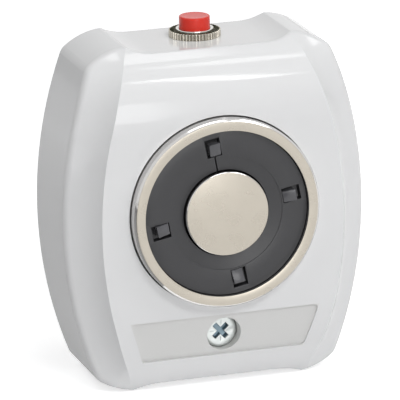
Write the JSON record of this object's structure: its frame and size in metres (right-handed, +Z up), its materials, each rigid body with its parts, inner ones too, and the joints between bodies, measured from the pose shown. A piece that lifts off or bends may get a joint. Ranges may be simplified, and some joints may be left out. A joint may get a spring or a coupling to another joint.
{
  "type": "electromagnetic door holder",
  "caption": "Wall-mounted electromagnetic door holder: moulded housing, round holding magnet in front, spring-return release button on top.",
  "frame": {"origin": "centre of the wall fixing slots, on the rear face where the holder meets the wall", "axes": "+Y into the wall, -Y towards the door, +Z up, +X to the right seen from the front"},
  "size_m": [0.0832, 0.0368, 0.097],
  "materials": {
    "housing_white": "moulded ABS, smooth, light gloss",
    "base_plastic": "moulded, fine matt grain",
    "nickel_plate": "turned and nickel plated, satin",
    "dark_plastic": "glass-filled nylon, satin",
    "copper_wire": "enamelled copper wire",
    "zinc_plate": "blue zinc plate",
    "brass_parts": "turned or stamped brass",
    "knurled_steel": "dark nickel, bright",
    "red_plastic": "moulded, glossy",
    "spring_steel": "drawn wire",
    "board_laminate": "green lacquered laminate",
    "block_plastic": "moulded nylon",
    "black_wire": "soft insulation",
    "red_wire": "soft insulation"
  },
  "bodies": {
    "housing": {"cover": "housing_white", "base": "base_plastic", "magnet_cup": "nickel_plate", "magnet_core": "nickel_plate", "coil_bobbin": "dark_plastic", "coil_winding": "copper_wire", "magnet_screw": "zinc_plate", "magnet_washer": "zinc_plate", "cover_screw": "zinc_plate", "screw_insert": "brass_parts", "button_nut": "knurled_steel", "button_bush": "knurled_steel", "button_lock_washer": "zinc_plate", "switch_housing": "dark_plastic", "switch_contacts": "brass_parts", "button_spring": "spring_steel", "circuit_board": "board_laminate", "board_screws": "zinc_plate", "terminal_block": "block_plastic", "terminal_clamps": "brass_parts", "terminal_screws": "zinc_plate", "suppressor_diode": "dark_plastic", "coil_leads": "black_wire", "switch_leads": "red_wire"},
    "button": {"button_cap": "red_plastic", "button_plunger": "dark_plastic", "contact_bridge": "brass_parts"}
  },
  "joints": [
    {"name": "button_press", "type": "slide", "parent": "housing", "child": "button", "axis": [0, 0, -1], "range_m": [0, 0.0018], "stiffness_N_per_m": 600, "springref_m": -0.002, "deforming": ["button_spring"]}
  ]
}
